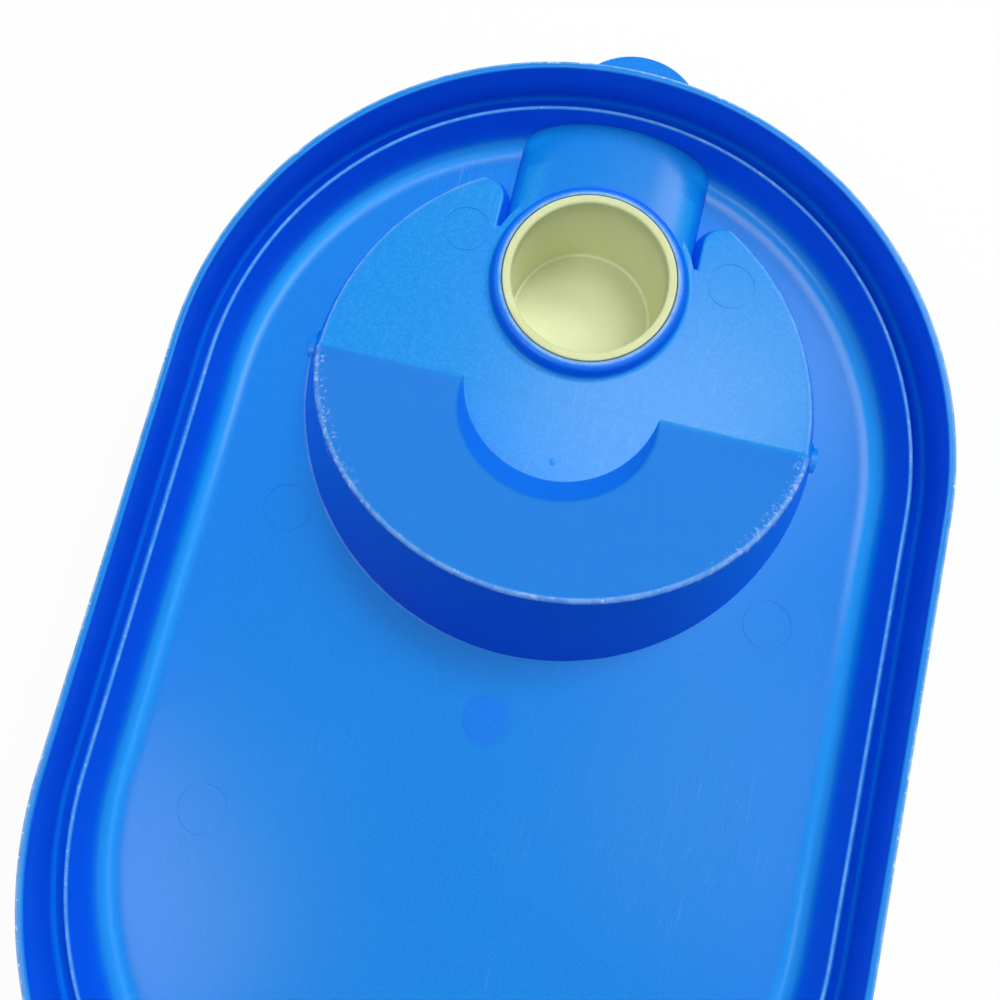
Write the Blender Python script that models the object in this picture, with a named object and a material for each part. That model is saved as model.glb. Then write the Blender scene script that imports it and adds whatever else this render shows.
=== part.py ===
"""Press-on pouring lid of an oval jug, with the rocker cap that closes its pouring hole.

The lid lies on the outer face of its cap, inner side up: +Z points out of the lid's inner side,
+Y towards the pouring lip and X across. The rocker cap turns on two pins that sit in ears beside
the lid's round well. Pressing the back of the cap into the well lifts the plug out of the hole.
"""
import math

import bmesh
import bpy
from mathutils import Matrix

# Plan of the lid, in metres
END_RADIUS = 0.055
END_SPACING = 0.0604
LIP_REACH = 0.010
LIP_RADIUS = 0.012

# Levels of the lid, each measured from the one named in the comment
CAP_STAND = 0.0131        # outer face of the panel above the cap's outer face
PANEL_WALL = 0.0019       # panel thickness
SKIRT_RISE = 0.0130       # skirt edge above the panel's inner face
RIB_RISE = 0.0071         # sealing rib above the panel's inner face
GROOVE_DEPTH = 0.0095     # groove floor below the skirt edge
RIM_WALL = 0.0020         # wall between groove floor and rim top
WELL_STEP = 0.0025        # well floor above the panel's inner face
COLLAR_RISE = 0.0022      # collar edge above the well floor
TROUGH_RISE = 0.0044      # trough crest above the panel's inner face

# Rim section, measured inwards from the outer wall
SKIRT_WALL = 0.0011
GROOVE_WIDTH = 0.0016
RIB_WALL = 0.0013
RIB_SPREAD = 0.0012
RIM_DRAFT = 0.0003
GRIP_STEP = 0.0004
EDGE_ROUND = 0.0005
STEP_SLOPE = 0.0014

# Round well and its sloping pocket
WELL_WALL = 0.0019
WELL_RADIUS = 0.0378
WELL_Y = 0.0372
WELL_DRAFT = 0.0007
POCKET_TILT = math.radians(27.0)
POCKET_DRAFT = math.radians(23.0)
BITE_RADIUS = 0.0152
BITE_AHEAD = 0.0025
BITE_DRAFT = math.radians(27.0)
LOBE_ROUND = 0.0032
SLIT_WIDTH = 0.0014

# Pouring hole, collar and trough
HOLE_AHEAD = 0.0187
PLUG_RADIUS = 0.0124
PLUG_WALL = 0.0013
PLUG_GAP = 0.00025
COLLAR_WALL = 0.0011
COLLAR_SPREAD = 0.0015
TROUGH_HALF_WIDTH = 0.0142
TROUGH_WALL = 0.0019
GUTTER_DEPTH = 0.0004
LIP_WALL = 0.0016

# Rocker cap and its pivot
CAP_WALL = 0.0015
CAP_SKIRT_GAP = 0.0004
CAP_SIDE_GAP = 0.0007
CAP_EDGE_ROUND = 0.0008
CAP_SWING = math.radians(25.0)
SWING_GAP = 0.0007
PLUG_STAND_OUT = 0.0002
LUG_RADIUS = 0.0020
LUG_WALL = 0.0017
PIN_RADIUS = 0.0011
PIN_REACH = 0.0020
PIN_GAP = 0.0003
EAR_WALL = 0.0012
THUMB_DISH_DEPTH = 0.0006
THUMB_DISH_RADIUS = 0.050

# Facets along the round stretches
END_STEPS = 24
WELL_STEPS = 72
HOLE_STEPS = 48
ARCH_STEPS = 20
PIN_STEPS = 20
LOBE_STEPS = 6

# A cutter or a joining solid runs this far past the face that it meets
OVERRUN = 0.0008

# Levels worked out from the sizes above
PANEL_OUT_Z = CAP_STAND
PANEL_Z = PANEL_OUT_Z + PANEL_WALL
SKIRT_Z = PANEL_Z + SKIRT_RISE
RIB_Z = PANEL_Z + RIB_RISE
GROOVE_Z = SKIRT_Z - GROOVE_DEPTH
RIM_TOP_Z = GROOVE_Z - RIM_WALL
FLOOR_Z = PANEL_Z + WELL_STEP
FLOOR_OUT_Z = FLOOR_Z - WELL_WALL
COLLAR_Z = FLOOR_Z + COLLAR_RISE
PIVOT_Z = FLOOR_OUT_Z - PIN_GAP - LUG_RADIUS
HOLE_Y = WELL_Y + HOLE_AHEAD
END_Y = END_SPACING / 2 + END_RADIUS

# Insets worked out from the rim section
RIB_OUT = SKIRT_WALL + GROOVE_WIDTH
RIB_IN = RIB_OUT + RIB_WALL
RIB_FOOT = RIB_IN + RIB_SPREAD

# The object's middle lies over the origin, so the lid's centre is set back by half the lip
CENTRE_Y = -LIP_REACH / 2


def clear_scene():
    """Remove whatever the scene holds."""
    for item in list(bpy.data.objects):
        bpy.data.objects.remove(item, do_unlink=True)


def arc(centre, radius, start, end, steps):
    """Points on a circle from one angle to another, both ends included."""
    points = []
    for index in range(steps + 1):
        angle = start + (end - start) * index / steps
        points.append((centre[0] + radius * math.cos(angle), centre[1] + radius * math.sin(angle)))
    return points


def circle(centre, radius, steps):
    """Points all round a circle."""
    return arc(centre, radius, 0.0, 2 * math.pi, steps)[:-1]


def raised(outline, height):
    """An outline set at one height."""
    return [(x, y, height) for x, y in outline]


def loft(name, rings, closed=False):
    """A solid skinned over rings of equally many points, with flat ends unless it closes on itself."""
    mesh = bmesh.new()
    loops = [[mesh.verts.new(point) for point in ring] for ring in rings]
    pairs = list(zip(loops, loops[1:]))
    if closed:
        pairs.append((loops[-1], loops[0]))
    count = len(loops[0])
    for lower, upper in pairs:
        for index in range(count):
            after = (index + 1) % count
            mesh.faces.new((lower[index], lower[after], upper[after], upper[index]))
    if not closed:
        mesh.faces.new(reversed(loops[0]))
        mesh.faces.new(loops[-1])
    bmesh.ops.recalc_face_normals(mesh, faces=mesh.faces)
    data = bpy.data.meshes.new(name)
    mesh.to_mesh(data)
    mesh.free()
    body = bpy.data.objects.new(name, data)
    bpy.context.collection.objects.link(body)
    return body


def cone(name, centre, low_radius, high_radius, low_z, high_z, steps):
    """An upright cone or cylinder between two levels."""
    low = raised(circle(centre, low_radius, steps), low_z)
    high = raised(circle(centre, high_radius, steps), high_z)
    return loft(name, [low, high])


def crosswise_pin(name, y, z, radius, start_x, end_x):
    """A cylinder along X."""
    section = circle((y, z), radius, PIN_STEPS)
    return loft(name, [[(x, p, q) for p, q in section] for x in (start_x, end_x)])


def combine(body, tool, operation):
    """Join a solid to a body or cut it away, and drop the tool."""
    tool.hide_render = True
    tool.display_type = "WIRE"
    step = body.modifiers.new(operation.lower(), "BOOLEAN")
    step.operation = operation
    step.solver = "EXACT"
    step.object = tool
    graph = bpy.context.evaluated_depsgraph_get()
    result = bpy.data.meshes.new_from_object(body.evaluated_get(graph))
    body.modifiers.clear()
    body.data = result
    bpy.data.objects.remove(tool, do_unlink=True)
    return body


def stadium(inset):
    """The lid's outline, two half circles joined by straight sides, moved inwards."""
    far = END_SPACING / 2
    radius = END_RADIUS - inset
    front = arc((0.0, far), radius, 0.0, math.pi, END_STEPS)
    back = arc((0.0, -far), radius, math.pi, 2 * math.pi, END_STEPS)
    return front + back


def lid_shell():
    """Panel and rim in one: the rim section carried round the outline, closed by the panel."""
    grip_z = GROOVE_Z + GROOVE_DEPTH / 4
    groove_out = SKIRT_WALL + RIM_DRAFT
    step_foot = RIB_FOOT - EDGE_ROUND
    section = [
        (RIB_FOOT + PANEL_WALL, PANEL_Z),
        (RIB_FOOT + EDGE_ROUND, PANEL_Z),
        (RIB_FOOT - EDGE_ROUND, PANEL_Z + 2 * EDGE_ROUND),
        (RIB_IN, RIB_Z - EDGE_ROUND),
        (RIB_IN - EDGE_ROUND, RIB_Z),
        (RIB_OUT + EDGE_ROUND, RIB_Z),
        (RIB_OUT, RIB_Z - EDGE_ROUND),
        (RIB_OUT, GROOVE_Z),
        (groove_out + GRIP_STEP, GROOVE_Z),
        (groove_out + GRIP_STEP, grip_z),
        (groove_out, grip_z + 2 * GRIP_STEP),
        (SKIRT_WALL, SKIRT_Z),
        (0.0, SKIRT_Z),
        (RIM_DRAFT, RIM_TOP_Z + EDGE_ROUND),
        (RIM_DRAFT + EDGE_ROUND, RIM_TOP_Z),
        (step_foot - STEP_SLOPE, RIM_TOP_Z),
        (step_foot, PANEL_OUT_Z),
        (RIB_FOOT + PANEL_WALL, PANEL_OUT_Z),
    ]
    return loft("lid", [raised(stadium(inset), height) for inset, height in section])


def well_outline(grow):
    """The well floor: a disc with a straight-sided gap for the trough, its two corners rounded."""
    radius = WELL_RADIUS + grow
    side = TROUGH_HALF_WIDTH + SLIT_WIDTH - grow
    fillet = LOBE_ROUND + grow
    gap_end = HOLE_Y + PLUG_RADIUS / 2 + grow
    fillet_x = side + fillet
    fillet_y = math.sqrt((radius - fillet) ** 2 - fillet_x ** 2)
    meet = math.atan2(fillet_y, fillet_x)
    right = arc((fillet_x, WELL_Y + fillet_y), fillet, math.pi, meet, LOBE_STEPS)
    left = [(-x, y) for x, y in reversed(right)]
    round_back = arc((0.0, WELL_Y), radius, meet, -math.pi - meet, WELL_STEPS)
    return [(side, gap_end)] + right + round_back[1:-1] + left + [(-side, gap_end)]


def pocket(name, radius, plane_z, base_z):
    """Half a cone under a plane that climbs backwards from the pivot line.

    The wall leans in by the draft, so along a direction that runs backwards by a share s the wall
    meets the plane at (radius - (plane_z - panel) * tan(draft)) / (1 + s * tan(tilt) * tan(draft)).
    """
    lean = math.tan(POCKET_DRAFT)
    climb = math.tan(POCKET_TILT)
    low = []
    high = []
    steps = WELL_STEPS // 2
    for index in range(steps + 1):
        angle = math.pi + math.pi * index / steps
        back = -math.sin(angle)
        low_reach = radius + (PANEL_Z - base_z) * lean
        high_reach = (radius - (plane_z - PANEL_Z) * lean) / (1 + back * climb * lean)
        low.append((low_reach * math.cos(angle), WELL_Y - low_reach * back, base_z))
        top = plane_z + high_reach * back * climb
        high.append((high_reach * math.cos(angle), WELL_Y - high_reach * back, top))
    return loft(name, [low, high])


def bite(name, grow, low_z):
    """The cone-shaped bite that carries the well floor back into the pocket's block."""
    spread = math.tan(BITE_DRAFT)
    high_z = FLOOR_Z + WELL_RADIUS
    centre = (0.0, WELL_Y + BITE_AHEAD)
    low = BITE_RADIUS + grow + (low_z - FLOOR_Z) * spread
    high = BITE_RADIUS + grow + (high_z - FLOOR_Z) * spread
    return cone(name, centre, low, high, low_z, high_z, HOLE_STEPS)


def arch(name, half_width, base_z, stations):
    """A trough over stations of (y, crest height), its section a flattened half round."""
    flatness = 0.7
    rings = []
    for y, crest in stations:
        ring = []
        for index in range(ARCH_STEPS + 1):
            angle = math.pi * index / ARCH_STEPS
            lift = math.sin(angle) ** flatness if 0 < index < ARCH_STEPS else 0.0
            ring.append((half_width * math.cos(angle), y, base_z + (crest - base_z) * lift))
        rings.append(ring)
    return loft(name, rings)


def add_inner_forms(lid):
    """What stands up from the inner side: well floor, pocket block, trough, collar, ears and lip."""
    root = PANEL_Z - OVERRUN
    floor = loft("floor", [raised(well_outline(WELL_DRAFT), root), raised(well_outline(0.0), FLOOR_Z)])
    combine(lid, floor, "UNION")
    block = pocket("block", WELL_RADIUS + WELL_DRAFT, FLOOR_Z, root)
    combine(block, bite("bite", 0.0, FLOOR_Z - OVERRUN / 2), "DIFFERENCE")
    combine(lid, block, "UNION")
    crest = PANEL_Z + TROUGH_RISE
    trough = arch("trough", TROUGH_HALF_WIDTH, root, [(HOLE_Y, crest), (END_Y, crest)])
    within = stadium(RIB_OUT + RIB_WALL / 2)
    trim = loft("trim", [raised(within, root - OVERRUN), raised(within, SKIRT_Z)])
    combine(trough, trim, "INTERSECT")
    combine(lid, trough, "UNION")
    collar_top = PLUG_RADIUS + PLUG_GAP + COLLAR_WALL
    collar = cone("collar", (0.0, HOLE_Y), collar_top + COLLAR_SPREAD, collar_top, FLOOR_Z - OVERRUN, COLLAR_Z,
                  HOLE_STEPS)
    combine(lid, collar, "UNION")
    ear_radius = PIN_RADIUS + PIN_GAP + EAR_WALL
    ear_start = WELL_RADIUS - WELL_WALL
    ear_end = ear_start + PIN_REACH + PIN_GAP + EAR_WALL
    for side in (-1, 1):
        ear = crosswise_pin("ear", WELL_Y, PIVOT_Z, ear_radius, side * ear_start, side * ear_end)
        combine(lid, ear, "UNION")
    lip_centre = (0.0, END_Y + LIP_REACH - LIP_RADIUS)
    lip_z = RIM_TOP_Z + RIM_DRAFT
    lip = cone("lip", lip_centre, LIP_RADIUS - RIM_DRAFT, LIP_RADIUS, lip_z, lip_z + LIP_WALL, HOLE_STEPS)
    inside = stadium(SKIRT_WALL)
    combine(lip, loft("inside", [raised(inside, lip_z - OVERRUN), raised(inside, SKIRT_Z)]), "DIFFERENCE")
    combine(lid, lip, "UNION")


def cut_outer_forms(lid):
    """What is hollow from the outer side: well, pocket, trough, pouring hole and pin sockets."""
    below = PANEL_OUT_Z - OVERRUN
    well = loft("well", [raised(well_outline(-WELL_WALL), below), raised(well_outline(-WELL_WALL), FLOOR_OUT_Z)])
    combine(lid, well, "DIFFERENCE")
    lean_wall = WELL_WALL / math.cos(POCKET_DRAFT)
    pocket_radius = WELL_RADIUS + WELL_DRAFT - lean_wall
    hollow = pocket("hollow", pocket_radius, FLOOR_Z - WELL_WALL / math.cos(POCKET_TILT), below)
    combine(hollow, bite("island", WELL_WALL / math.cos(BITE_DRAFT), below - OVERRUN), "DIFFERENCE")
    combine(lid, hollow, "DIFFERENCE")
    crest = PANEL_Z + TROUGH_RISE - TROUGH_WALL
    gutter = RIM_TOP_Z + GUTTER_DEPTH
    stations = [(HOLE_Y, crest), (END_Y - RIB_FOOT, gutter), (END_Y + LIP_REACH + OVERRUN, gutter)]
    combine(lid, arch("channel", TROUGH_HALF_WIDTH - TROUGH_WALL, below, stations), "DIFFERENCE")
    hole_top = PLUG_RADIUS + PLUG_GAP
    lip_corner = math.hypot(HOLE_AHEAD + PLUG_RADIUS, COLLAR_Z + PLUG_STAND_OUT - PIVOT_Z)
    leaving = math.sqrt(lip_corner ** 2 - (FLOOR_OUT_Z - PIVOT_Z) ** 2)
    hole_low = leaving - HOLE_AHEAD + PLUG_GAP
    widening = (hole_low - hole_top) / (COLLAR_Z - FLOOR_OUT_Z)
    bore = [(hole_low, below), (hole_low, FLOOR_OUT_Z), (hole_top - widening * OVERRUN, COLLAR_Z + OVERRUN)]
    rings = [raised(circle((0.0, HOLE_Y), radius, HOLE_STEPS), height) for radius, height in bore]
    hole = loft("hole", rings)
    combine(lid, hole, "DIFFERENCE")
    socket_start = WELL_RADIUS - WELL_WALL - OVERRUN
    socket_end = WELL_RADIUS - WELL_WALL + PIN_REACH + PIN_GAP
    for side in (-1, 1):
        socket = crosswise_pin("socket", WELL_Y, PIVOT_Z, PIN_RADIUS + PIN_GAP, side * socket_start,
                               side * socket_end)
        combine(lid, socket, "DIFFERENCE")


def cap_back_reach():
    """How far the cap may reach behind its pivot and still clear the pocket's wall when pressed.

    The cap's outer edge, one pivot height below the axis, turns through the full swing and there
    stays one gap inside the leaning wall.
    """
    lean = math.tan(POCKET_DRAFT)
    turn = math.cos(CAP_SWING) + math.sin(CAP_SWING) * lean
    wall_at_pivot = WELL_RADIUS + WELL_DRAFT - WELL_WALL / math.cos(POCKET_DRAFT) + (PANEL_Z - PIVOT_Z) * lean
    drop = PIVOT_Z * (math.sin(CAP_SWING) - math.cos(CAP_SWING) * lean)
    return (wall_at_pivot - drop - SWING_GAP) / turn


def cap_outline(inset):
    """The cap about its pivot: a half circle in front, a flatter half ellipse behind."""
    side = WELL_RADIUS - WELL_WALL - CAP_SIDE_GAP - inset
    back = cap_back_reach() - inset
    front_half = arc((0.0, 0.0), side, 0.0, math.pi, WELL_STEPS // 2)
    back_half = [(x, y * back / side) for x, y in arc((0.0, 0.0), side, math.pi, 2 * math.pi, WELL_STEPS // 2)]
    return front_half + back_half[1:-1]


def rocker_cap():
    """The cap as one moulding: drum, hollow plug, two lugs with pins and a thumb dish.

    Its mesh is drawn about the pivot, so heights here are measured from the pivot line.
    """
    face = -PIVOT_Z
    skirt_end = PANEL_OUT_Z - CAP_SKIRT_GAP - PIVOT_Z
    inside = face + CAP_WALL
    section = [
        (CAP_EDGE_ROUND, face),
        (CAP_EDGE_ROUND / 4, face + CAP_EDGE_ROUND / 3),
        (0.0, face + CAP_EDGE_ROUND),
        (0.0, skirt_end),
        (CAP_WALL, skirt_end),
        (CAP_WALL, inside),
    ]
    cap = loft("rocker_cap", [raised(cap_outline(inset), height) for inset, height in section])
    lip_z = COLLAR_Z + PLUG_STAND_OUT - PIVOT_Z
    bore = PLUG_RADIUS - PLUG_WALL
    lip_round = PLUG_WALL / 4
    tube = [
        (bore, inside - CAP_WALL / 2),
        (PLUG_RADIUS, inside - CAP_WALL / 2),
        (PLUG_RADIUS, lip_z - lip_round),
        (PLUG_RADIUS - lip_round, lip_z),
        (bore + lip_round, lip_z),
        (bore, lip_z - lip_round),
    ]
    centre = (0.0, HOLE_AHEAD)
    rings = [raised(circle(centre, radius, HOLE_STEPS), height) for radius, height in tube]
    combine(cap, loft("plug", rings, closed=True), "UNION")
    side_x = WELL_RADIUS - WELL_WALL - CAP_SIDE_GAP
    pin_end = WELL_RADIUS - WELL_WALL + PIN_REACH
    for side in (-1, 1):
        lug = crosswise_pin("lug", 0.0, 0.0, LUG_RADIUS, side * (side_x - LUG_WALL), side * (side_x - PIN_GAP / 2))
        combine(cap, lug, "UNION")
        pin = crosswise_pin("pin", 0.0, 0.0, PIN_RADIUS, side * (side_x - LUG_WALL / 2), side * pin_end)
        combine(cap, pin, "UNION")
    dish_z = face + THUMB_DISH_DEPTH
    dish_y = -cap_back_reach() / 2
    dish_steps = 6
    rim_radius = math.sqrt(THUMB_DISH_RADIUS ** 2 - (THUMB_DISH_RADIUS - 2 * THUMB_DISH_DEPTH) ** 2)
    rings = []
    for index in range(dish_steps):
        radius = rim_radius * (1 - index / dish_steps)
        height = dish_z - THUMB_DISH_RADIUS + math.sqrt(THUMB_DISH_RADIUS ** 2 - radius ** 2)
        rings.append(raised(circle((0.0, dish_y), radius, HOLE_STEPS), height))
    combine(cap, loft("dish", rings), "DIFFERENCE")
    return cap


def finish(body, colour, roughness):
    """Give a moulding its plastic and shade its round faces smoothly."""
    plastic = bpy.data.materials.new(body.name + "_plastic")
    plastic.use_nodes = True
    shader = plastic.node_tree.nodes["Principled BSDF"]
    shader.inputs["Base Color"].default_value = (*colour, 1.0)
    shader.inputs["Roughness"].default_value = roughness
    shader.inputs["Metallic"].default_value = 0.0
    body.data.materials.clear()
    body.data.materials.append(plastic)
    body.data.shade_smooth()
    body.data.set_sharp_from_angle(angle=math.radians(32.0))


def main():
    """Build the two mouldings and set them in place."""
    clear_scene()
    lid = lid_shell()
    add_inner_forms(lid)
    cut_outer_forms(lid)
    finish(lid, (0.015, 0.16, 0.70), 0.35)
    cap = rocker_cap()
    finish(cap, (0.53, 0.60, 0.26), 0.4)
    lid.matrix_world = Matrix.Translation((0.0, CENTRE_Y, 0.0))
    cap.parent = lid
    cap.location = (0.0, WELL_Y, PIVOT_Z)


main()
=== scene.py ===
import math

import bmesh
import bpy
import numpy as np
from mathutils import Matrix, Vector


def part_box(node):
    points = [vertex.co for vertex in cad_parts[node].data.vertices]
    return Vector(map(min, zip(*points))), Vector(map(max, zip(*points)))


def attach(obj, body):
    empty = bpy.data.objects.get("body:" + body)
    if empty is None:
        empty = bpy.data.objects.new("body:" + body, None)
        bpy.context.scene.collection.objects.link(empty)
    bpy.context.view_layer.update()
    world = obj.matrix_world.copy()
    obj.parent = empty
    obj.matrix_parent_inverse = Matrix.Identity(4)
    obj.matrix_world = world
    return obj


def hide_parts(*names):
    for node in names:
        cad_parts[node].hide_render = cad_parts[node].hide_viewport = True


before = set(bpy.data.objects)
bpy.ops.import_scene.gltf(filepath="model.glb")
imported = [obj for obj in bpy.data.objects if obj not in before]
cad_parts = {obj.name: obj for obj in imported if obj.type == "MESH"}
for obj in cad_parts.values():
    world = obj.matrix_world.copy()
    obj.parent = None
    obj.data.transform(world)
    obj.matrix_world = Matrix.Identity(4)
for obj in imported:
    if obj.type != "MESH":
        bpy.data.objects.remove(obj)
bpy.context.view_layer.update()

# Lid panel and rim
# The lid is one injection moulding in blue polyethylene. Its rim is a skirt, a groove that takes the
# jug's edge and a sealing rib, all carried round an outline of two half circles and straight sides.
MM = 0.001
END_RADIUS = 55.0 * MM
END_SPACING = 60.4 * MM
LID_Y = -5.0 * MM
PANEL_INSET = 13.0 * MM
PANEL_OUT_Z = 13.1 * MM
PANEL_Z = 15.0 * MM
COVE_FOOT = 6.9 * MM
RIM_TOP_Z = 16.5 * MM
GROOVE_Z = 18.5 * MM
GRIP_WALL = 1.8 * MM
GRIP_Z = 20.9 * MM
RIB_Z = 22.1 * MM
RIB_OUT = 2.7 * MM
RIB_CREST = 3.4 * MM
RIB_IN = 4.0 * MM
RIB_FOOT = 5.2 * MM
SKIRT_Z = 28.0 * MM
SKIRT_WALL = 1.1 * MM
SKIRT_DRAFT = 0.3 * MM
SHOULDER_TOP = 3.3 * MM
SHOULDER_FOOT = 4.7 * MM
OVERRUN = 0.8 * MM
OUTLINE_STEPS = 81


def rounded(corners, cuts, steps=6):
    """A path with its inner corners rounded off.

    A corner P gives way to (1 - t)^2 A + 2 t (1 - t) P + t^2 B, where A and B lie on its two legs, one
    cut away from P and never past the middle of a leg. Points run along the last axis but one.
    """
    corners = np.asarray(corners, float)
    inner = corners[..., 1:-1, :]
    ends = []
    for leg in (corners[..., :-2, :] - inner, corners[..., 2:, :] - inner):
        length = np.linalg.norm(leg, axis=-1, keepdims=True)
        reach = np.minimum(np.asarray(cuts)[:, None], 0.45 * length)
        ends.append((inner + leg / length * reach)[..., None, :])
    t = np.linspace(0, 1, steps + 1)[:, None]
    curves = (1 - t) ** 2 * ends[0] + 2 * t * (1 - t) * inner[..., None, :] + t ** 2 * ends[1]
    curves = curves.reshape(*corners.shape[:-2], -1, corners.shape[-1])
    return np.concatenate([corners[..., :1, :], curves, corners[..., -1:, :]], axis=-2)


def solid(name, rings, closed=False):
    """A closed mesh over a grid of points, one ring a row: quads join each ring to the next, and the
    first and last rings are faces of their own unless the rows close on themselves."""
    rows, columns = rings.shape[:2]
    index = np.arange(rows * columns).reshape(rows, columns)
    low = index if closed else index[:-1]
    high = np.roll(index, -1, axis=0) if closed else index[1:]
    quads = np.stack([low, np.roll(low, -1, 1), np.roll(high, -1, 1), high], axis=-1)
    caps = [] if closed else [index[0, ::-1].tolist(), index[-1].tolist()]
    mesh = bpy.data.meshes.new(name)
    mesh.from_pydata(rings.reshape(-1, 3), [], quads.reshape(-1, 4).tolist() + caps)
    shell = bmesh.new()
    shell.from_mesh(mesh)
    bmesh.ops.recalc_face_normals(shell, faces=shell.faces)
    shell.to_mesh(mesh)
    shell.free()
    body = bpy.data.objects.new(name, mesh)
    bpy.context.scene.collection.objects.link(body)
    return body


def combine(body, tool, operation):
    """Join a closed mesh to a body, cut it away or keep what they share, and drop the tool."""
    step = body.modifiers.new(operation.lower(), "BOOLEAN")
    step.operation = operation
    step.solver = "EXACT"
    step.object = tool
    graph = bpy.context.evaluated_depsgraph_get()
    result = bpy.data.meshes.new_from_object(body.evaluated_get(graph))
    body.modifiers.clear()
    body.data = result
    bpy.data.objects.remove(tool, do_unlink=True)


def round_outline(section):
    """Rings of a section of (inset, height) points carried round the lid's outline: at the angle a the
    point lies at an end's centre plus (end radius - inset) times (cos a, sin a)."""
    half = np.linspace(0, np.pi, OUTLINE_STEPS)
    turn = np.concatenate([half, half + np.pi])
    centre_y = LID_Y + END_SPACING / 2 * np.repeat([1.0, -1.0], half.size)
    inset, height = np.asarray(section)[:, :1], np.asarray(section)[:, 1:]
    reach = END_RADIUS - inset
    return np.stack([reach * np.cos(turn), centre_y + reach * np.sin(turn), height + 0 * turn], axis=-1)


rim_corners = [
    (PANEL_INSET, PANEL_Z), (COVE_FOOT, PANEL_Z), (5.1 * MM, 16.2 * MM), (4.4 * MM, 18.6 * MM),
    (RIB_IN, RIB_Z), (RIB_CREST, RIB_Z), (RIB_OUT, GROOVE_Z),
    (GRIP_WALL, GROOVE_Z), (GRIP_WALL, GRIP_Z), (1.4 * MM, 21.7 * MM),
    (SKIRT_WALL, SKIRT_Z), (0.0, SKIRT_Z), (SKIRT_DRAFT, RIM_TOP_Z),
    (SHOULDER_TOP, RIM_TOP_Z), (SHOULDER_FOOT, PANEL_OUT_Z), (PANEL_INSET, PANEL_OUT_Z),
]
rim_cuts = np.array([2.0, 1.1, 1.1, 0.3, 0.2, 0.15, 0.1, 0.2, 0.3, 0.35, 0.35, 0.6, 0.6, 0.6]) * MM
lid = solid("lid_moulding", round_outline(rounded(rim_corners, rim_cuts)))

# Round well of the lid
# A disc-shaped floor stands a step above the panel, moulded in one with it, with a straight-sided gap for
# the trough. Its edge is crisp, with only the small radius that a mould leaves.
WELL_RADIUS = 37.8 * MM
WELL_WALL = 1.9 * MM
WELL_DRAFT = 0.7 * MM
WELL_Y = LID_Y + 37.2 * MM
HOLE_Y = WELL_Y + 18.7 * MM
FLOOR_Z = 17.5 * MM
FLOOR_OUT_Z = FLOOR_Z - WELL_WALL
FLOOR_FOOT = 1.1 * MM
FLOOR_EDGE = 0.3 * MM
FLOOR_INNER = 1.8 * MM
FLOOR_ROUND = 0.35 * MM
TROUGH_HALF_WIDTH = 15.0 * MM
SLIT_WIDTH = 0.6 * MM
LOBE_ROUND = 3.2 * MM
LOBE_STEPS = 13
WELL_STEPS = 145
GAP_END = HOLE_Y + 6.2 * MM
ROOT_Z = PANEL_Z - OVERRUN


def well_rings(section):
    """Rings of the well floor for a section of (grow, height): an arc of the well's circle, joined to the
    gap's straight sides by a small arc that touches both. Growing moves the whole line outwards."""
    grow, height = np.asarray(section)[:, :1], np.asarray(section)[:, 1:]
    radius = WELL_RADIUS + grow
    side = TROUGH_HALF_WIDTH + SLIT_WIDTH - grow
    fillet = LOBE_ROUND + grow
    fillet_x = side + fillet
    fillet_y = np.sqrt((radius - fillet) ** 2 - fillet_x ** 2)
    meet = np.arctan2(fillet_y, fillet_x)
    bend = np.pi + (meet - np.pi) * np.linspace(0, 1, LOBE_STEPS)
    right_x = fillet_x + fillet * np.cos(bend)
    right_y = WELL_Y + fillet_y + fillet * np.sin(bend)
    sweep = meet + (-np.pi - 2 * meet) * np.linspace(0, 1, WELL_STEPS)[1:-1]
    arc_y = WELL_Y + radius * np.sin(sweep)
    gap_y = GAP_END + grow
    x = np.hstack([side, right_x, radius * np.cos(sweep), -right_x[:, ::-1], -side])
    y = np.hstack([gap_y, right_y, arc_y, right_y[:, ::-1], gap_y])
    return np.stack([x, y, height + 0 * x], axis=-1)


floor_corners = [(FLOOR_FOOT, ROOT_Z), (-FLOOR_EDGE, FLOOR_Z), (-FLOOR_INNER, FLOOR_Z)]
combine(lid, solid("floor", well_rings(rounded(floor_corners, [FLOOR_ROUND], 4))), "UNION")

# Sloping pocket block of the lid
# Behind the pivot line the well floor climbs as a half disc, so that the cap's back can sink into it from
# the outer side. A round bite leaves a bay of level floor, and every edge has a moulded radius.
POCKET_CLIMB = math.tan(math.radians(27.0))
POCKET_LEAN = math.tan(math.radians(23.0))
POCKET_RISE = 0.10 * MM
BITE_RADIUS = 15.2 * MM
BITE_AHEAD = 2.5 * MM
BITE_LEAN = math.tan(math.radians(27.0))
BITE_ROUNDS = 12
SILL_DROP = 0.4 * MM
SILL_SPREAD = 0.5 * MM
BLOCK_SPREAD = 1.05 * MM
BLOCK_OVERLAP = 0.06
BLOCK_STEPS = 125
half_turn = np.linspace(np.pi - BLOCK_OVERLAP, 2 * np.pi + BLOCK_OVERLAP, BLOCK_STEPS)
backwards = -np.sin(half_turn)


def wall_reach(radius, plane_z):
    """Where the leaning outer wall meets the climbing plane: (r - h lean) / (1 + s climb lean), with h the
    plane's height over the panel and s the share by which a direction runs backwards."""
    return (radius - (plane_z - PANEL_Z) * POCKET_LEAN) / (1 + backwards * POCKET_CLIMB * POCKET_LEAN)


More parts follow.
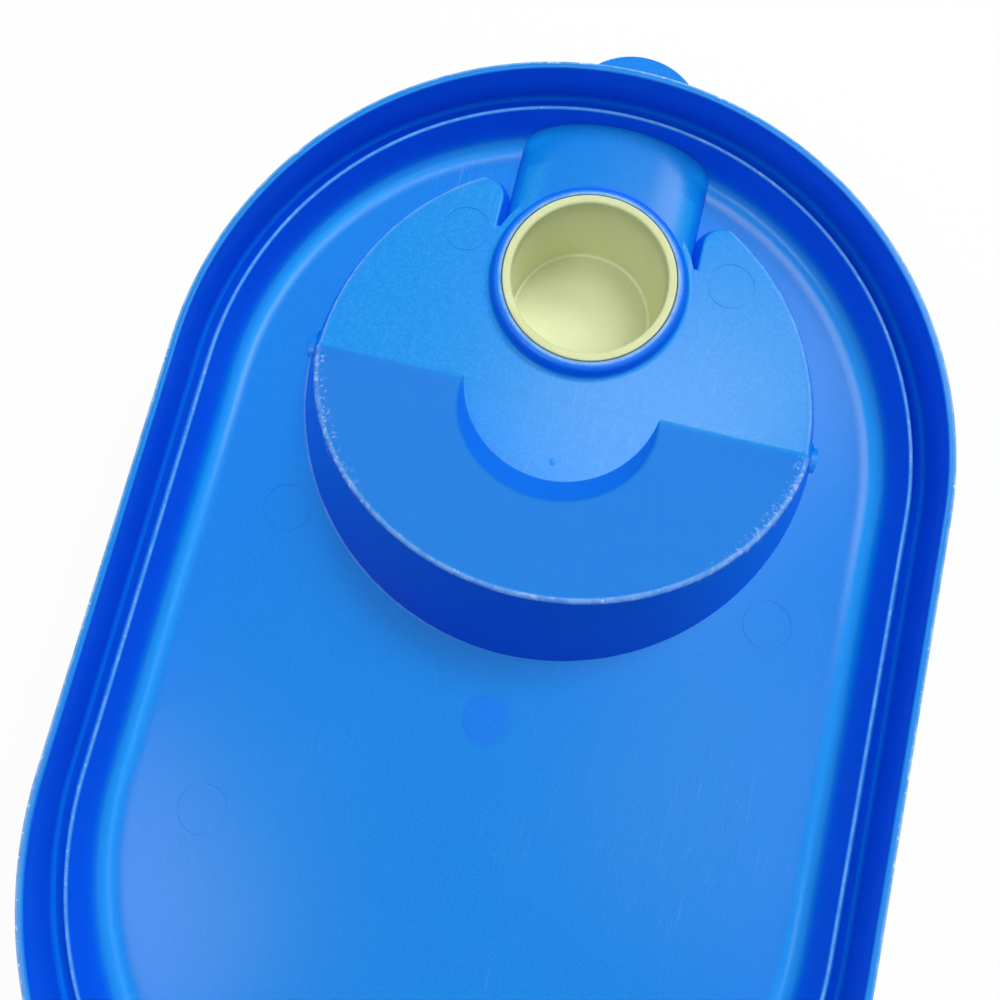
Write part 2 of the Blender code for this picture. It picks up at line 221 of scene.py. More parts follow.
def bite_reach(low_z, climbing):
    """Where the bite's cone is met, seen from the well's middle: the far crossing of a circle set ahead by
    BITE_AHEAD. On the climbing plane the circle grows with the reach, so the sum is run through anew."""
    reach = np.full_like(half_turn, BITE_RADIUS)
    for _ in range(BITE_ROUNDS):
        rise = low_z - FLOOR_Z + climbing * reach * backwards * POCKET_CLIMB
        circle = BITE_RADIUS + rise * BITE_LEAN
        reach = -BITE_AHEAD * backwards + np.sqrt(circle ** 2 - (BITE_AHEAD * np.cos(half_turn)) ** 2)
    return reach


def about_well(reach, height):
    """Points at a reach from the well's middle along each direction of the half turn."""
    spread = np.broadcast_to(reach, half_turn.shape)
    x = spread * np.cos(half_turn)
    return np.stack([x, WELL_Y - spread * backwards, height + 0 * half_turn], axis=-1)


plane_z = FLOOR_Z + POCKET_RISE
block_foot = WELL_RADIUS + BLOCK_SPREAD
sill_z = FLOOR_Z - SILL_DROP
sill = bite_reach(sill_z, 0.0)
inner = bite_reach(plane_z, 1.0)
outer = wall_reach(block_foot, plane_z)
block_corners = np.stack([
    about_well(sill + SILL_SPREAD, ROOT_Z),
    about_well(sill, sill_z),
    about_well(inner, plane_z + inner * backwards * POCKET_CLIMB),
    about_well(outer, plane_z + outer * backwards * POCKET_CLIMB),
    about_well(block_foot + OVERRUN * POCKET_LEAN, ROOT_Z),
], axis=1)
block_cuts = np.array([0.05, 0.4, 0.8]) * MM
combine(lid, solid("block", rounded(block_corners, block_cuts)), "UNION")

# Trough and collar of the lid
# From the pouring hole an arched trough runs out under the rim, and a collar with a soft foot rings the
# hole. Both are moulded in one with the well floor, and the cap's plug sits in the collar.
TROUGH_Z = 19.4 * MM
TROUGH_START = HOLE_Y + 2.5 * MM
ARCH_FLATNESS = 0.7
ARCH_STEPS = 65
COLLAR_Z = 19.7 * MM
END_Y = LID_Y + END_SPACING / 2 + END_RADIUS


def arch(stations, half_width, base_z):
    """Rings of a trough over stations of (y, crest): half width times cos a across, and up by the crest's
    height times sin a to the power of the flatness, which flattens the half round."""
    angle = np.linspace(0, np.pi, ARCH_STEPS)
    lift = np.clip(np.sin(angle), 0, 1) ** ARCH_FLATNESS
    lift[[0, -1]] = 0.0
    y, crest = np.asarray(stations)[:, :1], np.asarray(stations)[:, 1:]
    x = half_width * np.cos(angle) + 0 * y
    return np.stack([x, y + 0 * angle, base_z + (crest - base_z) * lift], axis=-1)


def turned(profile, middle_y, steps=96):
    """Rings of a profile of (radius, height) turned about an upright axis at x = 0."""
    turn = np.linspace(0, 2 * np.pi, steps, endpoint=False)
    radius, height = np.asarray(profile)[:, :1], np.asarray(profile)[:, 1:]
    return np.stack([radius * np.cos(turn), middle_y + radius * np.sin(turn), height + 0 * turn], axis=-1)


trough = solid("trough", arch([(TROUGH_START, TROUGH_Z), (END_Y, TROUGH_Z)], TROUGH_HALF_WIDTH, ROOT_Z))
rib_middle = (RIB_OUT + RIB_IN) / 2
within = solid("within", round_outline([(rib_middle, ROOT_Z - OVERRUN), (rib_middle, SKIRT_Z)]))
combine(trough, within, "INTERSECT")
combine(lid, trough, "UNION")
collar_corners = [
    (16.3 * MM, 16.7 * MM), (16.3 * MM, 17.48 * MM), (15.2 * MM, 17.6 * MM),
    (14.55 * MM, COLLAR_Z), (12.0 * MM, COLLAR_Z),
]
collar_cuts = np.array([0.02, 0.5, 0.8]) * MM
combine(lid, solid("collar", turned(rounded(collar_corners, collar_cuts), HOLE_Y)), "UNION")

# Pouring lip and pivot ears of the lid
# The lip is a short tongue beyond the rim, about level with its top. Two ears beside the well take the
# cap's pins. All three are part of the lid's moulding.
LIP_RADIUS = 11.0 * MM
LIP_REACH = 9.2 * MM
LIP_X = 0.8 * MM
LIP_Z = RIM_TOP_Z + 0.3 * MM
LIP_TOP_Z = 18.4 * MM
LIP_DRAFT = 0.3 * MM
LIP_INNER = 4.0 * MM
LIP_ROUND = 0.4 * MM
PIVOT_Z = 13.3 * MM
PIVOT_STEPS = 40
PIN_RADIUS = 1.1 * MM
PIN_GAP = 0.3 * MM
PIN_REACH = 2.0 * MM
EAR_WALL = 1.2 * MM
EAR_INSET = 0.17 * MM


def crosswise(radius, start_x, end_x):
    """Rings of a cylinder along X at the pivot line."""
    turn = np.linspace(0, 2 * np.pi, PIVOT_STEPS, endpoint=False)
    x = np.array([[start_x], [end_x]]) + 0 * turn
    y = WELL_Y + radius * np.cos(turn) + 0 * x
    return np.stack([x, y, PIVOT_Z + radius * np.sin(turn) + 0 * x], axis=-1)


lip_y = END_Y + LIP_REACH - LIP_RADIUS
lip_corners = [
    (LIP_INNER, LIP_Z), (LIP_RADIUS - LIP_DRAFT, LIP_Z), (LIP_RADIUS, LIP_TOP_Z), (LIP_INNER, LIP_TOP_Z),
]
lip_rings = turned(rounded(lip_corners, [LIP_ROUND, LIP_ROUND]), lip_y)
lip = solid("lip", lip_rings + np.array([LIP_X, 0.0, 0.0]))
clear = solid("clear", round_outline([(SKIRT_WALL, LIP_Z - OVERRUN), (SKIRT_WALL, SKIRT_Z)]))
combine(lip, clear, "DIFFERENCE")
combine(lid, lip, "UNION")
ear_start = WELL_RADIUS - WELL_WALL
socket_end = ear_start + PIN_REACH + PIN_GAP
for side in (-1, 1):
    ear_radius = PIN_RADIUS + PIN_GAP + EAR_WALL
    ear = crosswise(ear_radius, side * (ear_start + EAR_INSET), side * (socket_end + EAR_WALL))
    combine(lid, solid("ear", ear), "UNION")

# Outer side of the lid
# From below the lid is hollow where the cap lies: well, sloping pocket, pouring channel, hole and the two
# pin sockets, all with a wall of about two millimetres above them.
PLUG_RADIUS = 13.2 * MM
PLUG_Z = COLLAR_Z + 0.2 * MM
PLUG_GAP = 0.25 * MM
SEAL_GAP = 0.12 * MM
GUTTER_Z = RIM_TOP_Z + 0.4 * MM
HOLE_STEPS = 131
below = PANEL_OUT_Z - OVERRUN
combine(lid, solid("well", well_rings([(-WELL_WALL, below), (-WELL_WALL, FLOOR_OUT_Z)])), "DIFFERENCE")
hollow_plane = FLOOR_Z - WELL_WALL * math.hypot(1, POCKET_CLIMB)
hollow_radius = WELL_RADIUS + WELL_DRAFT - WELL_WALL * math.hypot(1, POCKET_LEAN)
hollow_reach = wall_reach(hollow_radius, hollow_plane)
hollow_low = about_well(hollow_radius + (PANEL_Z - below) * POCKET_LEAN, below)
hollow_high = about_well(hollow_reach, hollow_plane + hollow_reach * backwards * POCKET_CLIMB)
hollow = solid("hollow", np.stack([hollow_low, hollow_high]))
island_radius = BITE_RADIUS + WELL_WALL * math.hypot(1, BITE_LEAN)
island_ends = (below - OVERRUN, FLOOR_Z + WELL_RADIUS)
island = [(island_radius + (end - FLOOR_Z) * BITE_LEAN, end) for end in island_ends]
combine(hollow, solid("island", turned(island, WELL_Y + BITE_AHEAD)), "DIFFERENCE")
combine(lid, hollow, "DIFFERENCE")
channel = [
    (HOLE_Y, TROUGH_Z - WELL_WALL), (END_Y - RIB_FOOT, GUTTER_Z), (END_Y + LIP_REACH + OVERRUN, GUTTER_Z),
]
combine(lid, solid("channel", arch(channel, TROUGH_HALF_WIDTH - WELL_WALL, below)), "DIFFERENCE")
plug_corner = math.hypot(HOLE_Y - WELL_Y + PLUG_RADIUS, PLUG_Z - PIVOT_Z)
hole_low = math.sqrt(plug_corner ** 2 - (FLOOR_OUT_Z - PIVOT_Z) ** 2) - (HOLE_Y - WELL_Y) + PLUG_GAP
hole_top = PLUG_RADIUS + SEAL_GAP
narrowing = (hole_low - hole_top) / (COLLAR_Z - FLOOR_OUT_Z)
hole = [(hole_low, below), (hole_low, FLOOR_OUT_Z), (hole_top - narrowing * OVERRUN, COLLAR_Z + OVERRUN)]
combine(lid, solid("hole", turned(hole, HOLE_Y, HOLE_STEPS)), "DIFFERENCE")
for side in (-1, 1):
    socket = crosswise(PIN_RADIUS + PIN_GAP, side * (ear_start - OVERRUN), side * socket_end)
    combine(lid, solid("socket", socket), "DIFFERENCE")

# Moulding marks of the lid
# Six round ejector pins have left fine rings on the inner side, four on the panel and two on the well
# floor, and the gate where the plastic ran in has left a dot.
MARK_RADIUS = 3.5 * MM
MARK_LINE = 0.16 * MM
MARK_DEPTH = 0.08 * MM
MARK_STEPS = 64
GATE_STEPS = 24
low_pin_spot = (0.3 * MM, -11.3 * MM, PANEL_Z)
pin_spots = [
    (36.8 * MM, 11.4 * MM, PANEL_Z), low_pin_spot, (-36.0 * MM, 11.8 * MM, PANEL_Z),
    (-36.1 * MM, -32.6 * MM, PANEL_Z), (-20.2 * MM, 60.0 * MM, FLOOR_Z), (21.3 * MM, 60.2 * MM, FLOOR_Z),
]
gate_spot = (1.0 * MM, 27.4 * MM, FLOOR_Z)
mark_profile = [
    (MARK_RADIUS - MARK_LINE, MARK_DEPTH), (MARK_RADIUS - MARK_LINE, -MARK_DEPTH),
    (MARK_RADIUS + MARK_LINE, -MARK_DEPTH), (MARK_RADIUS + MARK_LINE, MARK_DEPTH),
]
gate_profile = np.array([(0.55, -0.3), (0.5, 0.12), (0.2, 0.18)]) * MM
for spot in pin_spots:
    ring = turned(mark_profile, LID_Y, MARK_STEPS) + np.array(spot)
    combine(lid, solid("mark", ring, closed=True), "DIFFERENCE")
combine(lid, solid("gate", turned(gate_profile, LID_Y, GATE_STEPS) + np.array(gate_spot)), "UNION")

# Lid plastic
# Dyed polyethylene with a fine grain. Level faces are azure, walls that stand up get a painted shade of
# deeper blue, some edges carry painted highlights, and the edges that touch a table or a jug are scuffed
# pale.
AZURE = (0.002, 0.212, 0.68, 1.0)
DEEP = (0.002, 0.105, 0.86, 1.0)
FLOOR_SHEEN_BLUE = (0.006, 0.275, 0.73, 1.0)
GROOVE_LIGHT_BLUE = (0.004, 0.34, 1.0, 1.0)
COVE_LIGHT_BLUE = (0.004, 0.36, 0.92, 1.0)
STIPPLE_BLUE = (0.05, 0.44, 0.92, 1.0)
CLOUD_BLUE = (0.008, 0.25, 0.80, 1.0)
SLOPE_SHADE_BLUE = (0.012, 0.185, 0.63, 1.0)
BACK_SHADE_BLUE = (0.002, 0.02, 0.60, 1.0)
WORN_AND_HIGHLIGHT = (0.30, 0.52, 0.86, 1.0)
SCUFFED = (0.60, 0.74, 0.93, 1.0)
COVE_INSET = 6.4 * MM
COVE_WIDTH = 1.9 * MM
GROOVE_INSET = 2.3 * MM
GROOVE_WIDTH = 1.1 * MM
COLLAR_WALL_RADIUS = 14.4 * MM
SCRATCH_LENGTH_SCALE = 45.0
CREASE = math.radians(35.0)


class Field:
    """A value that varies over a surface: one output socket, whose arithmetic adds Math nodes. A field
    with no socket is where the first nodes of a tree start."""

    def __init__(self, tree, socket=None):
        self.tree = tree
        self.socket = socket

    def node(self, kind, settings, sockets, output=0):
        """Add a node, set it up, feed its sockets with numbers or fields, and give one of its outputs."""
        made = self.tree.nodes.new(kind)
        for name, value in settings.items():
            setattr(made, name, value)
        for name, value in sockets.items():
            if isinstance(value, Field):
                self.tree.links.new(value.socket, made.inputs[name])
            else:
                made.inputs[name].default_value = value
        return Field(self.tree, made.outputs[output])

    def feed(self, socket):
        """Link the field to a socket of a shader."""
        self.tree.links.new(self.socket, socket)

    def axes(self):
        """The x, y and z of a vector."""
        return [self.node("ShaderNodeSeparateXYZ", {}, {0: self}, axis) for axis in range(3)]

    def math(self, operation, first, second=0.0):
        return self.node("ShaderNodeMath", {"operation": operation}, {0: first, 1: second})

    def __add__(self, other):
        return self.math("ADD", self, other)

    def __radd__(self, other):
        return self.math("ADD", other, self)

    def __sub__(self, other):
        return self.math("SUBTRACT", self, other)

    def __rsub__(self, other):
        return self.math("SUBTRACT", other, self)

    def __mul__(self, other):
        return self.math("MULTIPLY", self, other)

    def __rmul__(self, other):
        return self.math("MULTIPLY", other, self)

    def __abs__(self):
        return self.math("ABSOLUTE", self)

    def at_least(self, other):
        return self.math("MAXIMUM", self, other)

    def root(self):
        return self.math("SQRT", self)

    def ramp(self, low, high):
        """0 at low, 1 at high, smooth between; low may lie above high."""
        sockets = {"Value": self, "From Min": low, "From Max": high}
        return self.node("ShaderNodeMapRange", {"interpolation_type": "SMOOTHSTEP"}, sockets)

    def near(self, middle, width):
        """1 on a line where the field has one value, fading out within a width."""
        return abs(self - middle).ramp(width, 0.0)

    def mix(self, first, second):
        """A colour that goes from the first to the second as the field goes from 0 to 1."""
        return self.node("ShaderNodeMix", {"data_type": "RGBA"}, {0: self, 6: first, 7: second}, 2)


def plastic(name):
    """A new Principled material, its shader's inputs, the object coordinates and the way a face points."""
    material = bpy.data.materials.new(name)
    material.use_nodes = True
    start = Field(material.node_tree)
    place = start.node("ShaderNodeTexCoord", {}, {}, "Object")
    facing = start.node("ShaderNodeTexCoord", {}, {}, "Normal")
    return material, material.node_tree.nodes["Principled BSDF"].inputs, place, facing


def distance(x, y):
    """How far a point lies from an axis: the root of x squared plus y squared."""
    return (x * x + y * y).root()


def grain(place, scale, detail=2.0, roughness=0.5):
    """Noise over the surface, with features about 1 / scale metres wide."""
    sockets = {"Vector": place, "Scale": scale, "Detail": detail, "Roughness": roughness}
    return place.node("ShaderNodeTexNoise", {}, sockets)


def scratches(place, turn, fineness):
    """Sparse hairlines: noise stretched along one direction and cut off near its middle value."""
    stretch = (fineness, SCRATCH_LENGTH_SCALE, 1.0)
    sockets = {"Vector": place, "Rotation": (0.0, 0.0, turn), "Scale": stretch}
    along = place.node("ShaderNodeMapping", {}, sockets)
    return grain(along, 1.0, 1.0).near(0.5, 0.004) * grain(place, 38.0).ramp(0.5, 0.7)


def layered(colour, layers):
    """A colour with layers laid over it in turn, each a mask and the tint that it brings."""
    for mask, tint in layers:
        colour = mask.mix(colour, tint)
    return colour


def finish_piece(piece, material, body, node):
    """Give a moulding its plastic, shade its round faces smoothly and let it stand for its CAD node."""
    piece.data.materials.clear()
    piece.data.materials.append(material)
    piece.data.shade_smooth()
    piece.data.set_sharp_from_angle(angle=CREASE)
    weighted = piece.modifiers.new("weighted_normals", "WEIGHTED_NORMAL")
    weighted.keep_sharp = True
    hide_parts(node)
    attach(piece, body)


lid_plastic, lid_inputs, place, facing = plastic("lid_plastic")
x, y, z = place.axes()
up = facing.axes()[2]
past_end = (abs(y - LID_Y) - END_SPACING / 2).at_least(0.0)
inset = END_RADIUS - distance(x, past_end)
from_well = distance(x, y - WELL_Y)
from_hole = distance(x, y - HOLE_Y)
backward = WELL_Y - y
over_slope = z - (FLOOR_Z + backward * POCKET_CLIMB)
wall_depth = block_foot - from_well - (z - PANEL_Z) * POCKET_LEAN

# Painted light and shade by place and by how a face points, and one pin's darker disc
# Faces that stand up are painted a deeper blue: painted shade.
steep_shade = abs(up).ramp(0.85, 0.15)
level = up.ramp(0.80, 0.95)
# The level well floor is painted paler: a painted sheen.
plateau = from_well.ramp(WELL_RADIUS, WELL_RADIUS - 0.4 * MM)
plateau = plateau * z.ramp(FLOOR_Z - 0.6 * MM, FLOOR_Z - 0.2 * MM)
plateau = plateau * z.ramp(FLOOR_Z + 1.2 * MM, FLOOR_Z + 0.5 * MM)
# The collar's sloping wall is painted a deeper blue: painted shade.
collar_wall_shade = from_hole.near(COLLAR_WALL_RADIUS, 1.0 * MM) * z.ramp(FLOOR_Z + 0.1 * MM, FLOOR_Z + 0.5 * MM)
# The groove's floor is painted a lighter blue: painted light.
groove = inset.near(GROOVE_INSET, GROOVE_WIDTH) * z.ramp(RIB_Z - 0.2 * MM, RIB_Z - 1.2 * MM)
groove = groove * z.ramp(GROOVE_Z - MM, GROOVE_Z)
# The cove at the rim's foot is painted lighter: painted light gathered in the hollow.
cove_light = inset.near(COVE_INSET, COVE_WIDTH) * z.ramp(18.6 * MM, 16.8 * MM)
low_pin = distance(x, y - (LID_Y + low_pin_spot[1])).ramp(MARK_RADIUS, MARK_RADIUS - 0.2 * MM)
low_pin = low_pin * z.near(PANEL_Z, 0.4 * MM)
behind = backward.ramp(0.1 * MM, 0.7 * MM)
on_block = behind * from_well.ramp(block_foot + 1.0 * MM, block_foot + 0.5 * MM)
# The climbing slope is painted darker: painted shade.
slope_shade = over_slope.near(0.12 * MM, 0.6 * MM) * behind * from_well.ramp(block_foot, block_foot - MM)
# The block's back wall is painted darker towards the back: painted shade.
back_wall_shade = wall_depth.near(0.0, 0.5 * MM) * on_block * steep_shade * backward.ramp(12.0 * MM, 37.0 * MM)

# Grain and haze
cloud = grain(place, 28.0, 3.0)
stipple = grain(place, 2600.0, 2.0, 0.6).ramp(0.42, 0.66) * level
broken = grain(place, 420.0, 4.0, 0.7).ramp(0.38, 0.62)
patchy = grain(place, 60.0, 2.0).ramp(0.35, 0.6)
orange_peel = grain(place, 650.0, 2.0) * 0.5 + grain(place, 3200.0, 2.0) * 0.5

# Wear on the edges, painted highlights along some of them, and hairlines on the level faces
skirt_edge = z.ramp(SKIRT_Z - 0.6 * MM, SKIRT_Z - 0.1 * MM) * inset.ramp(0.55 * MM, 0.2 * MM)
rib_edge = z.ramp(RIB_Z - 0.5 * MM, RIB_Z - 0.1 * MM) * inset.near(RIB_IN - 0.3 * MM, 0.3 * MM)
collar_edge = z.ramp(COLLAR_Z - 0.3 * MM, COLLAR_Z) * from_hole.near(PLUG_RADIUS + 0.35 * MM, 0.45 * MM)
# The block's top edge is painted pale: partly scuffed wear, partly a painted highlight.
block_edge_highlight_and_wear = over_slope.ramp(-0.9 * MM, -0.4 * MM) * wall_depth.ramp(0.75 * MM, 0.3 * MM) * on_block
block_ends = abs(x).ramp(20.0 * MM, 33.0 * MM) * over_slope.ramp(-2.6 * MM, -0.3 * MM) * on_block
block_ends = block_ends * wall_depth.ramp(2.2 * MM, 0.4 * MM)
block_ends = block_ends * grain(place, 1300.0, 3.0, 0.7).ramp(0.55, 0.64)
# A pale line along the block's foot, on its left side only: a painted highlight.
block_foot_highlight = z.near(PANEL_Z + 0.1 * MM, 0.25 * MM) * from_well.near(block_foot, 0.35 * MM) * behind
block_foot_highlight = block_foot_highlight * (-1.0 * x).ramp(-4.0 * MM, 24.0 * MM)
past_slit = abs(x).ramp(TROUGH_HALF_WIDTH, TROUGH_HALF_WIDTH + SLIT_WIDTH)
beside_trough = (HOLE_Y - y).ramp(0.0, MM).at_least(past_slit)
# A pale line along the well floor's edge: a painted highlight.
floor_edge_highlight = z.near(FLOOR_Z - 0.1 * MM, 0.35 * MM) * from_well.near(WELL_RADIUS - 0.45 * MM, 0.4 * MM)
floor_edge_highlight = floor_edge_highlight * beside_trough
# Pale edges: real wear on skirt, rib and collar, painted highlights on the floor edge, block edge and
# foot.
wear_and_highlight = (skirt_edge * 0.75).at_least(rib_edge * 0.5).at_least(collar_edge * 0.8).at_least(floor_edge_highlight * 0.55)
wear_and_highlight = wear_and_highlight.at_least(block_edge_highlight_and_wear * 0.5).at_least(block_foot_highlight * 0.5) * (0.45 + broken * 0.55)
scuff = (skirt_edge + block_edge_highlight_and_wear * 0.8 + rib_edge * 0.4) * patchy
scuff = scuff * grain(place, 900.0, 3.0, 0.7).ramp(0.56, 0.66)
scuff = scuff.at_least(block_ends * 0.55)
hairlines = scratches(place, 0.5, 700.0).at_least(scratches(place, -0.35, 900.0))
hairlines = hairlines.at_least(scratches(place, 1.3, 800.0)) * level

lid_colour = layered(AZURE, [
    (plateau * 0.8, FLOOR_SHEEN_BLUE),
    ((steep_shade * 0.95).at_least(collar_wall_shade * 0.7), DEEP),
    (groove * 0.9, GROOVE_LIGHT_BLUE),
    (cove_light * 0.75, COVE_LIGHT_BLUE),
    (low_pin * 0.3, DEEP),
    (stipple * (0.10 + plateau * 0.14), STIPPLE_BLUE),
    (cloud.ramp(0.3, 0.75) * 0.12, CLOUD_BLUE),
    (slope_shade * 0.8, SLOPE_SHADE_BLUE),
    (back_wall_shade * 0.8, BACK_SHADE_BLUE),
    (wear_and_highlight, WORN_AND_HIGHLIGHT),
    (scuff, SCUFFED),
    (hairlines * 0.06, SCUFFED),
])
lid_colour.feed(lid_inputs["Base Color"])
lid_roughness = 0.20 + cloud * 0.06 + wear_and_highlight * 0.2 - hairlines * 0.06
lid_roughness.feed(lid_inputs["Roughness"])
lid_height = orange_peel - hairlines * 0.2 - scuff * 0.5
lid_relief = {"Strength": 0.25, "Distance": 0.06 * MM, "Height": lid_height}
place.node("ShaderNodeBump", {}, lid_relief).feed(lid_inputs["Normal"])
lid_inputs["Specular IOR Level"].default_value = 0.20
lid_inputs["Subsurface Weight"].default_value = 0.35
lid_inputs["Subsurface Radius"].default_value = (0.3, 0.6, 1.0)
lid_inputs["Subsurface Scale"].default_value = 1.5 * MM
finish_piece(lid, lid_plastic, "lid", "lid")

# Rocker cap
# One moulding in pale yellow-green polypropylene: a shallow drum with a thumb dish, a hollow plug that
# shows as a cup in the pouring hole, and two lugs whose pins clip into the lid's ears.
CAP_WALL = 1.5 * MM
CAP_SIDE = WELL_RADIUS - WELL_WALL - 0.7 * MM
CAP_TOP_Z = PANEL_OUT_Z - 0.4 * MM
CAP_BACK = WELL_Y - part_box("rocker_cap")[0].y
CAP_MIDDLE = 8.0 * MM
CAP_STEPS = 160
PLUG_BORE = 11.85 * MM
PLUG_INNER = PLUG_BORE - 0.6 * MM
PLUG_STEPS = 120
CUP_FLOOR_Z = 1.58 * MM
LUG_RADIUS = 2.0 * MM
LUG_WALL = 1.7 * MM
DISH_DEPTH = 0.6 * MM
DISH_RADIUS = 50.0 * MM
DISH_STEPS = 24
PALE_GREEN = (0.62, 0.68, 0.37, 1.0)
SHADE_GREEN = (0.58, 0.64, 0.31, 1.0)
SPECKLE_GREEN = (0.84, 0.86, 0.66, 1.0)
CUP_LIGHT_GREEN = (0.79, 0.82, 0.57, 1.0)
CORNER_HIGHLIGHT_GREEN = (0.95, 0.96, 0.80, 1.0)


def cap_rings(section):
    """Rings of the cap for a section of (inset, height): a half circle before the pivot line and a flatter
    half ellipse behind it."""
    turn = np.linspace(0, 2 * np.pi, CAP_STEPS, endpoint=False)
    inset, height = np.asarray(section)[:, :1], np.asarray(section)[:, 1:]
    across = CAP_SIDE - inset
    along = np.where(np.sin(turn) > 0, across, CAP_BACK - inset)
    return np.stack([across * np.cos(turn), WELL_Y + along * np.sin(turn), height + 0 * turn], axis=-1)


cap_corners = [
    (CAP_MIDDLE, 0.0), (0.0, 0.0), (0.0, CAP_TOP_Z),
    (CAP_WALL, CAP_TOP_Z), (CAP_WALL, CAP_WALL), (CAP_MIDDLE, CAP_WALL),
]
cap_cuts = np.array([0.9, 0.25, 0.25, 0.8]) * MM
cap = solid("cap_moulding", cap_rings(rounded(cap_corners, cap_cuts)))
plug_corners = [
    (PLUG_INNER, 0.8 * MM), (PLUG_RADIUS, 0.75 * MM), (PLUG_RADIUS, PLUG_Z),
    (PLUG_BORE, PLUG_Z), (PLUG_BORE, CUP_FLOOR_Z), (PLUG_INNER, CUP_FLOOR_Z),
]
plug_cuts = np.array([0.02, 0.3, 0.55, 0.4]) * MM
plug = turned(rounded(plug_corners, plug_cuts), HOLE_Y, PLUG_STEPS)
combine(cap, solid("plug", plug, closed=True), "UNION")
for side in (-1, 1):
    lug = crosswise(LUG_RADIUS, side * (CAP_SIDE - LUG_WALL), side * (CAP_SIDE - PIN_GAP / 2))
    combine(cap, solid("lug", lug), "UNION")
    pin = crosswise(PIN_RADIUS, side * (CAP_SIDE - LUG_WALL / 2), side * (ear_start + PIN_REACH))
    combine(cap, solid("pin", pin), "UNION")
dish_edge = math.sqrt(DISH_RADIUS ** 2 - (DISH_RADIUS - 2 * DISH_DEPTH) ** 2)
dish_reach = dish_edge * np.linspace(1, 0.02, DISH_STEPS)
dish_z = DISH_DEPTH - DISH_RADIUS + np.sqrt(DISH_RADIUS ** 2 - dish_reach ** 2)
dish = turned(np.stack([dish_reach, dish_z], axis=-1), WELL_Y - CAP_BACK / 2)
combine(cap, solid("dish", dish), "DIFFERENCE")

# Satin plastic, a little cloudy, with a fine speckle; painted light makes it paler towards the cup's
# floor, and a painted highlight rings the floor's edge
cap_plastic, cap_inputs, place, _ = plastic("cap_plastic")
x, y, z = place.axes()
from_hole = distance(x, y - HOLE_Y)
mottle = grain(place, 160.0, 4.0, 0.65)
speckle = grain(place, 2400.0, 3.0, 0.7)
# Paler lower down, lifting the shade inside the cup: painted light.
cup_light = z.ramp(19.2 * MM, 15.0 * MM)
# A pale ring where the cup's wall meets its floor: a painted highlight.
cup_corner_highlight = from_hole.near(PLUG_BORE - 0.3 * MM, 0.4 * MM)
cup_corner_highlight = cup_corner_highlight * z.ramp(2.4 * MM, 1.9 * MM) * z.ramp(1.0 * MM, 1.4 * MM)
cap_colour = layered(SHADE_GREEN, [
    (mottle.ramp(0.3, 0.7), PALE_GREEN),
    (speckle.ramp(0.45, 0.75) * 0.3, SPECKLE_GREEN),
    (cup_light * 0.75, CUP_LIGHT_GREEN),
    (cup_corner_highlight * 0.8, CORNER_HIGHLIGHT_GREEN),
])
cap_colour.feed(cap_inputs["Base Color"])
cap_roughness = 0.55 + mottle * 0.12
cap_roughness.feed(cap_inputs["Roughness"])
cap_relief = {"Strength": 0.22, "Distance": 0.05 * MM, "Height": speckle + mottle * 0.6}
place.node("ShaderNodeBump", {}, cap_relief).feed(cap_inputs["Normal"])
finish_piece(cap, cap_plastic, "rocker_cap", "rocker_cap")

# Studio table and light
# A white table under the lid, a white room, and soft panels above it. Table and room are white to the
# camera and in reflections, and the table keeps a trace of the shadow.
TABLE_REACH = 3.0
TABLE_WHITE = (0.85, 0.85, 0.85, 1.0)
WHITE_SHARE = 0.9
ROOM_WHITE = (1.0, 1.0, 1.0, 1.0)
ROOM_LIGHT = 0.46
ROOM_FALL = 0.22
ROOM_AHEAD = 0.25
ROOM_ENDS = 0.45
# Each panel has its place and size in metres and its power in watts. The key shows in no reflection.
PANELS = {
    "left": ((-0.40, -0.40, 0.95), 0.34, 2.2),
    "right": ((0.32, -0.10, 0.95), 0.32, 0.6),
    "front": ((0.11, 0.29, 0.95), 0.28, 2.5),
    "window": ((0.50, 0.58, 0.95), 0.34, 3.2),
    "key": ((0.12, 0.62, 0.95), 0.22, 3.0),
}


def shown_white(start):
    """1 for rays from the camera, off gloss or through something clear, which see white."""
    kinds = ("Is Camera Ray", "Is Glossy Ray", "Is Transmission Ray")
    from_camera, off_gloss, through = (start.node("ShaderNodeLightPath", {}, {}, kind) for kind in kinds)
    return from_camera.at_least(off_gloss).at_least(through)


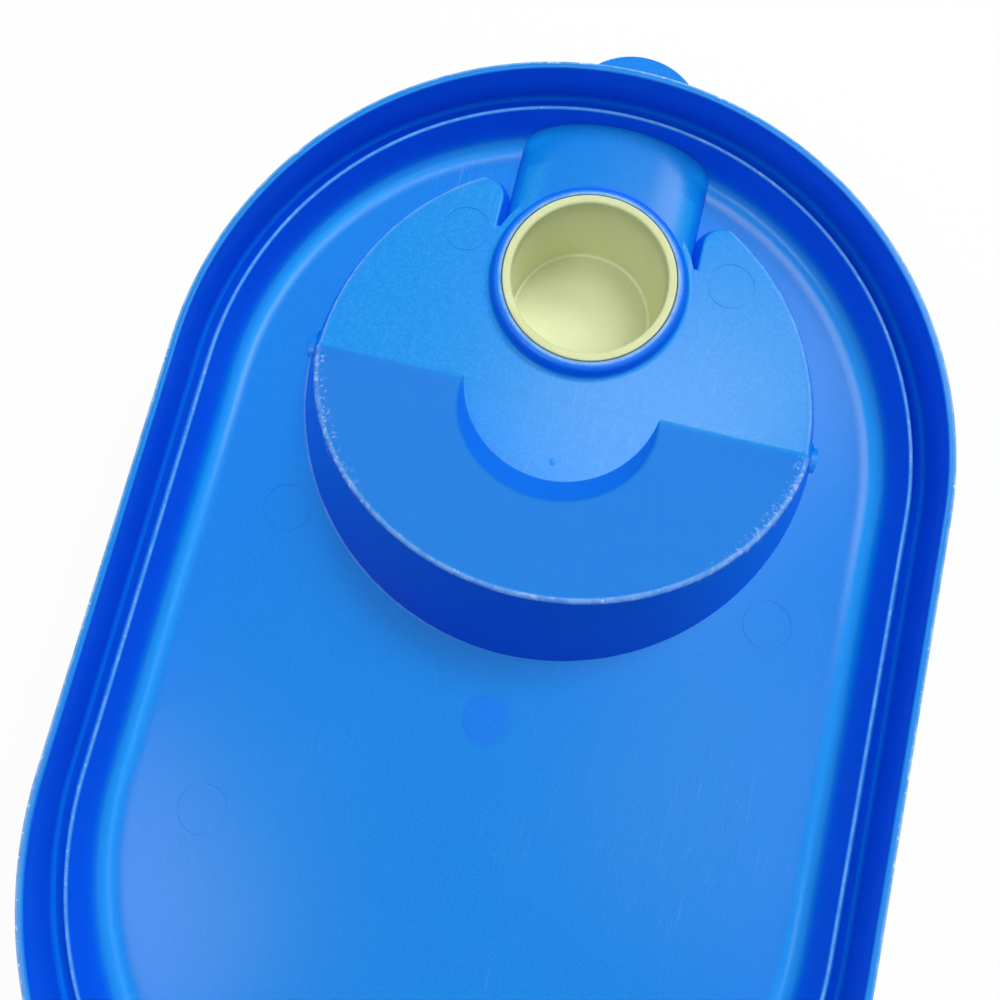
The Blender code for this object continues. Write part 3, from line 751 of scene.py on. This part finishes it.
corners = np.array([(-1, -1, 0), (1, -1, 0), (1, 1, 0), (-1, 1, 0)]) * TABLE_REACH
top = bpy.data.meshes.new("table")
top.from_pydata(corners, [], [(0, 1, 2, 3)])
table = bpy.data.objects.new("table", top)
bpy.context.scene.collection.objects.link(table)
white = bpy.data.materials.new("white_table")
white.use_nodes = True
start = Field(white.node_tree)
matt = start.node("ShaderNodeBsdfDiffuse", {}, {"Color": TABLE_WHITE})
glow = start.node("ShaderNodeEmission", {}, {})
seen_white = shown_white(start) * WHITE_SHARE
blend = start.node("ShaderNodeMixShader", {}, {"Fac": seen_white, 1: matt, 2: glow})
blend.feed(white.node_tree.nodes["Material Output"].inputs["Surface"])
top.materials.append(white)

world = bpy.data.worlds.new("room")
world.use_nodes = True
bpy.context.scene.world = world
sky = world.node_tree.nodes["Background"]
sky.inputs["Color"].default_value = ROOM_WHITE
start = Field(world.node_tree)
ahead, height = start.node("ShaderNodeTexCoord", {}, {}, "Generated").axes()[1:]
room = (ROOM_LIGHT - ROOM_FALL * height * height) * (1 + ROOM_AHEAD * ahead - ROOM_ENDS * ahead * ahead)
room.at_least(shown_white(start)).feed(sky.inputs["Strength"])

for name, (spot, size, power) in PANELS.items():
    lamp = bpy.data.lights.new(name, "AREA")
    lamp.size = size
    lamp.energy = power
    panel = bpy.data.objects.new(name, lamp)
    panel.location = spot
    panel.visible_glossy = name != "key"
    panel.rotation_mode = "QUATERNION"
    panel.rotation_quaternion = (-Vector(spot)).to_track_quat("-Z", "Y")
    bpy.context.scene.collection.objects.link(panel)

# Camera
# The photograph looks almost straight down from about 15 cm, turned a little, with a short lens. The eye
# is in metres, and the turn's direction is its axis and its length its angle.
EYE = Vector((0.00037, -0.00585, 0.15011))
TURN = Vector((0.1602, 0.0236, 0.2347))
view = bpy.data.cameras.new("camera")
view.sensor_width = 36.0
view.lens = 32.9
view.clip_start = 5.0 * MM
camera = bpy.data.objects.new("camera", view)
camera.matrix_world = Matrix.Translation(EYE) @ Matrix.Rotation(TURN.length, 4, TURN)
bpy.context.scene.collection.objects.link(camera)
bpy.context.scene.camera = camera
bpy.context.scene.view_settings.view_transform = "Standard"
